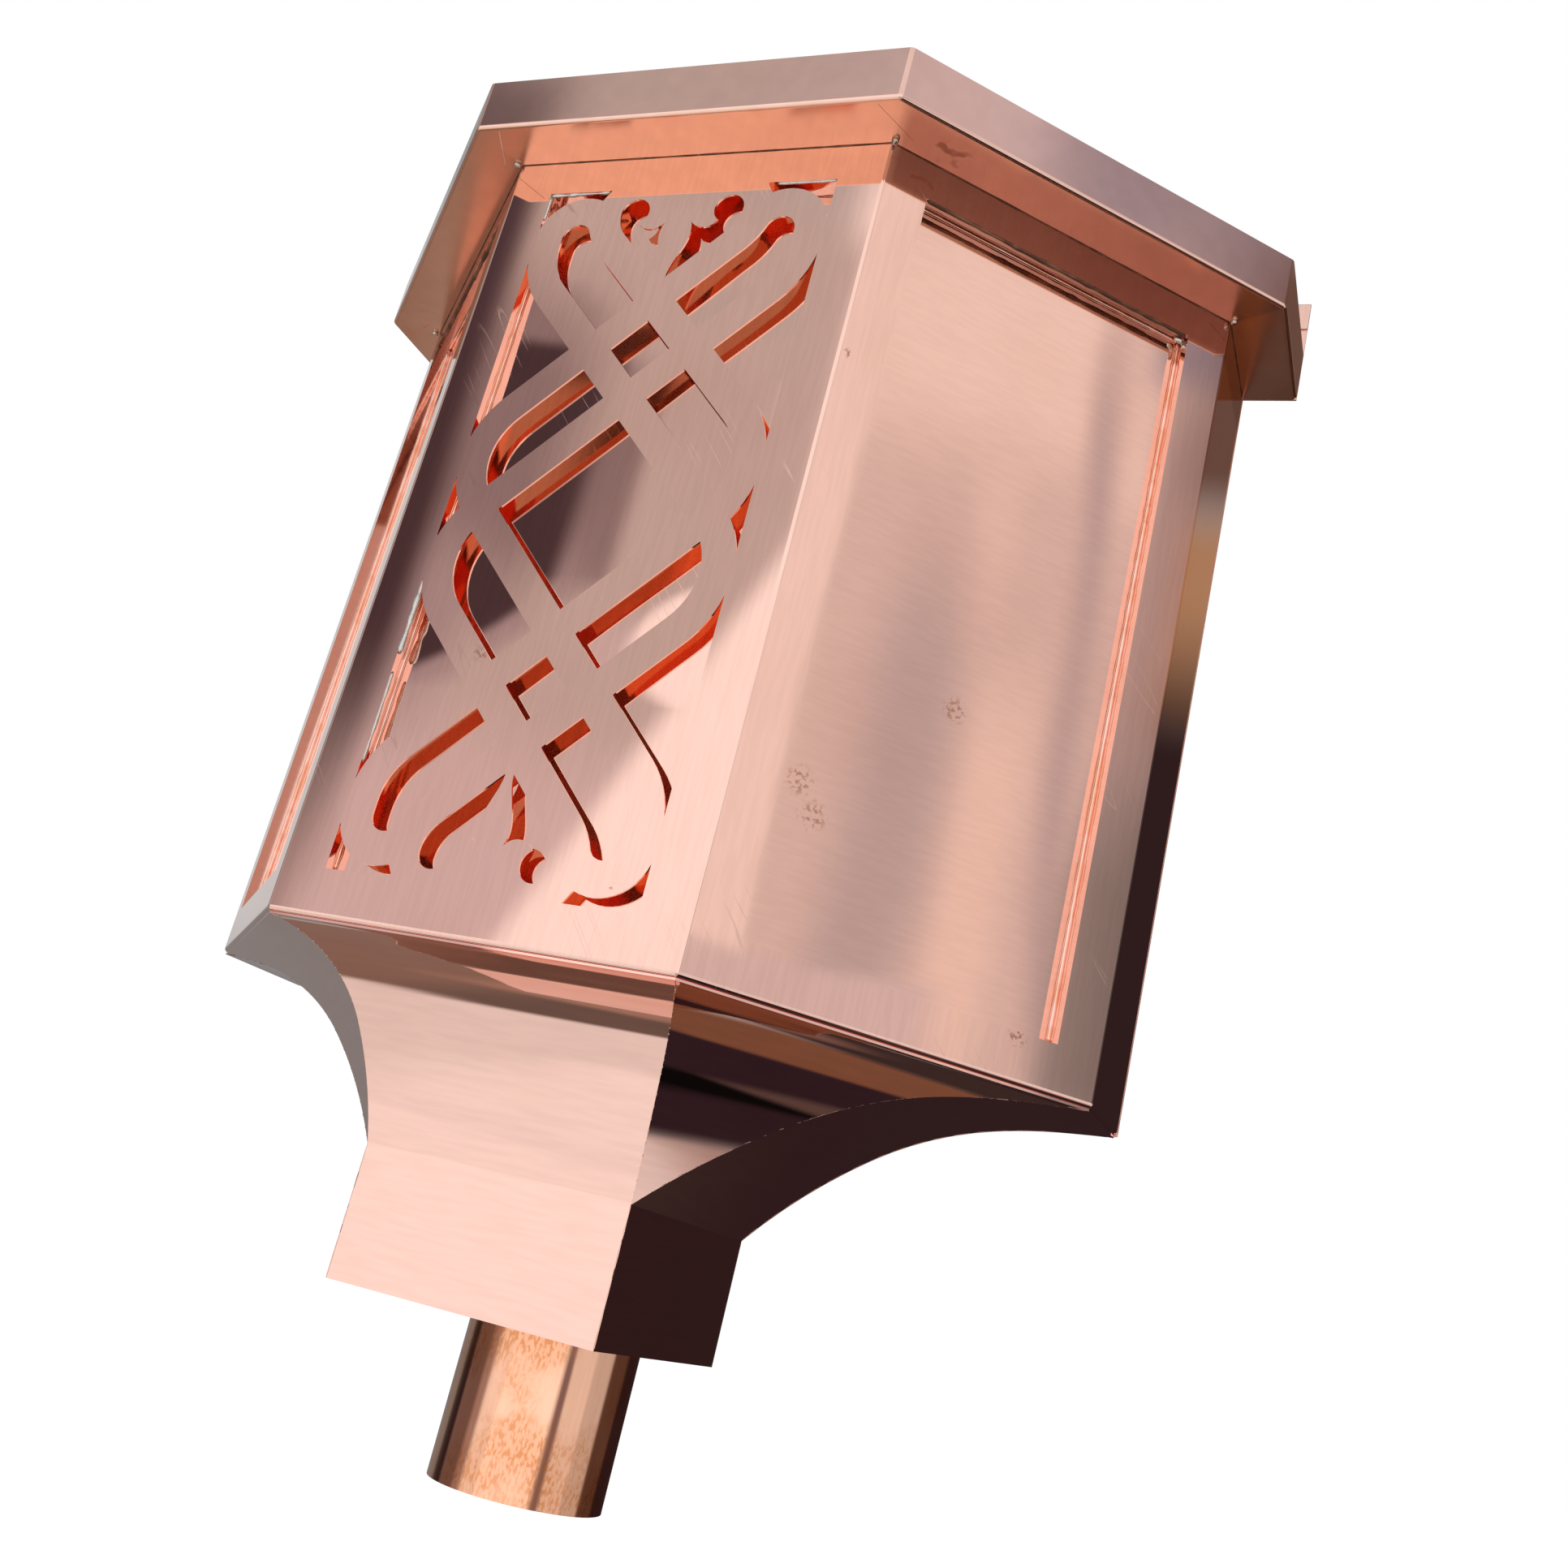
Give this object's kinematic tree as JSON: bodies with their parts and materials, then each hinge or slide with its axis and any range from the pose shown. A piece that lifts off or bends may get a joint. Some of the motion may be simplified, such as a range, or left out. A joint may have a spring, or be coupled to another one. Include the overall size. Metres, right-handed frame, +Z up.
{
  "type": "downpipe hopper head",
  "caption": "Polished copper downpipe hopper head with a half-octagon body, pierced interlace front, recessed side panels, overhanging rim, swept coves and a round outlet spigot.",
  "frame": {"origin": "on the wall face, in the middle of the back plate, level with the underside of the overhanging rim", "axes": "+Z up, +Y into the wall, the pierced front faces -Y"},
  "size_m": [0.531, 0.233, 0.6695],
  "materials": {
    "copper_body": null,
    "copper_panel": null,
    "copper_rim": null,
    "copper_back": null,
    "copper_cove": null,
    "copper_outlet": null
  },
  "bodies": {
    "root": {"body_skin": "copper_body", "front_backing_tray": "copper_panel", "right_panel_tray": "copper_panel", "left_panel_tray": "copper_panel", "rim_band": "copper_rim", "back_plate": "copper_back", "front_cove": "copper_cove", "right_chamfer_cove": "copper_cove", "left_chamfer_cove": "copper_cove", "right_side_cove": "copper_cove", "left_side_cove": "copper_cove", "box_bottom": "copper_outlet", "outlet_spigot": "copper_outlet"}
  },
  "joints": []
}
